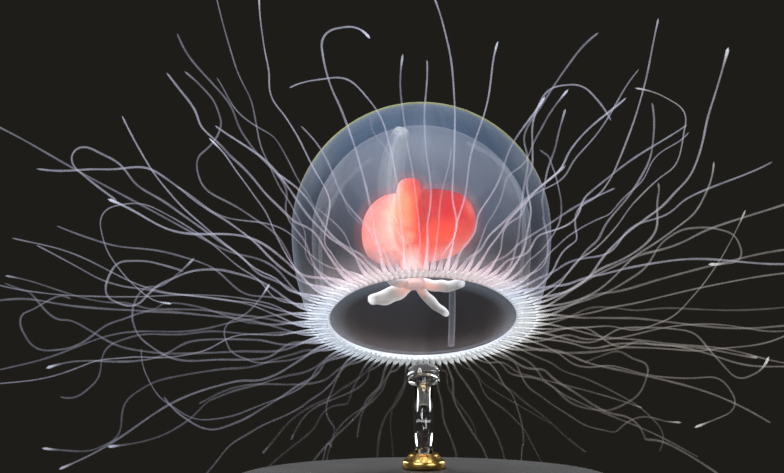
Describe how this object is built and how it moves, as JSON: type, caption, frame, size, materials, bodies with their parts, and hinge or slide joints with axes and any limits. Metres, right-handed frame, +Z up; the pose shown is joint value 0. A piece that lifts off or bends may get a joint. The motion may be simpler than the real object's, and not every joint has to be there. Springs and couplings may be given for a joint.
{
  "type": "jellyfish model",
  "caption": "Small clear hydromedusa with a red stomach and a crown of fine white tentacles, leaning back on a display stand.",
  "frame": {"origin": "centre of the display stand's underside, on the table", "axes": "+Z up; -Y towards the front, the side that the bell's mouth leans to; +X to the right seen from the front"},
  "size_m": [0.0369, 0.0241, 0.0236],
  "materials": {
    "clear_jelly": "clear wet jelly with a faint blue-grey haze",
    "pale_tissue": "translucent pale grey jelly",
    "white_tissue": "soft bluish white, wet",
    "pink_tissue": "soft pink, wet",
    "red_tissue": "saturated orange red, finely grained, wet",
    "clear_acrylic": "polished clear acrylic",
    "black_acrylic": "polished black acrylic",
    "polished_brass": "turned and polished"
  },
  "bodies": {
    "root": {"bell": "clear_jelly", "gastric_peduncle": "pale_tissue", "stomach": "pink_tissue", "gonad_near": "red_tissue", "gonad_right": "red_tissue", "gonad_far": "red_tissue", "gonad_left": "red_tissue", "lip_right": "pink_tissue", "lip_far": "pink_tissue", "lip_left": "pink_tissue", "lip_near": "pink_tissue", "radial_canal_1": "pale_tissue", "radial_canal_2": "pale_tissue", "radial_canal_3": "pale_tissue", "radial_canal_4": "pale_tissue", "velum": "clear_jelly", "rim_tentacles_01": "white_tissue", "rim_tentacles_02": "white_tissue", "rim_tentacles_03": "white_tissue", "rim_tentacles_04": "white_tissue", "rim_tentacles_05": "white_tissue", "rim_tentacles_06": "white_tissue", "rim_tentacles_07": "white_tissue", "rim_tentacles_08": "white_tissue", "rim_tentacles_09": "white_tissue", "rim_tentacles_10": "white_tissue", "rim_tentacles_11": "white_tissue", "rim_tentacles_12": "white_tissue", "rim_tentacles_13": "white_tissue", "rim_tentacles_14": "white_tissue", "rim_tentacles_15": "white_tissue", "rim_tentacles_16": "white_tissue", "rim_tentacles_17": "white_tissue", "rim_tentacles_18": "white_tissue", "rim_tentacles_19": "white_tissue", "rim_tentacles_20": "white_tissue", "rim_tentacles_21": "white_tissue", "rim_tentacles_22": "white_tissue", "rim_tentacles_23": "white_tissue", "rim_tentacles_24": "white_tissue", "rim_tentacles_25": "white_tissue", "rim_tentacles_26": "white_tissue", "rim_tentacles_27": "white_tissue", "rim_tentacles_28": "white_tissue", "rim_tentacles_29": "white_tissue", "rim_tentacles_30": "white_tissue", "rim_tentacles_31": "white_tissue", "rim_tentacles_32": "white_tissue", "rim_tentacles_33": "white_tissue", "rim_tentacles_34": "white_tissue", "rim_tentacles_35": "white_tissue", "rim_tentacles_36": "white_tissue", "stand_base": "black_acrylic", "stand_pad": "clear_acrylic", "stand_rod": "clear_acrylic", "stand_collar": "polished_brass"}
  },
  "joints": []
}
